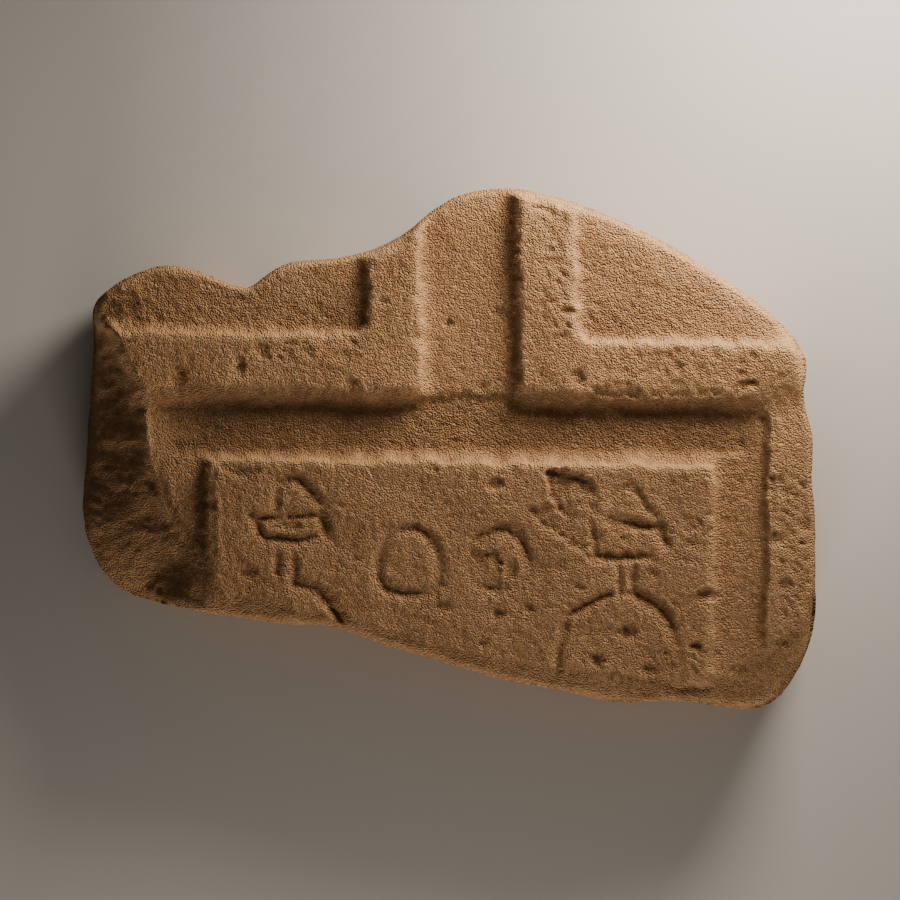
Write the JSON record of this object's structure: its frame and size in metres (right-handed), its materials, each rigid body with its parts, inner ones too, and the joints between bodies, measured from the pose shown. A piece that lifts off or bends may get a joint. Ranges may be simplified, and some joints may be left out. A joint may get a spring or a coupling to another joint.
{
  "type": "offering table fragment",
  "caption": "Broken sandstone offering table slab with a raised band, a spout, a sunk water channel, and jars and loaves cut in outline on its panel.",
  "frame": {"origin": "middle of the box around the stone, on its flat underside", "axes": "+X to the dressed right edge, +Y to the spout, +Z out of the carved face"},
  "size_m": [0.4092, 0.2894, 0.08],
  "materials": {
    "sandstone": "weathered, granular, matt"
  },
  "bodies": {
    "root": {"offering_table_slab": "sandstone"}
  },
  "joints": []
}
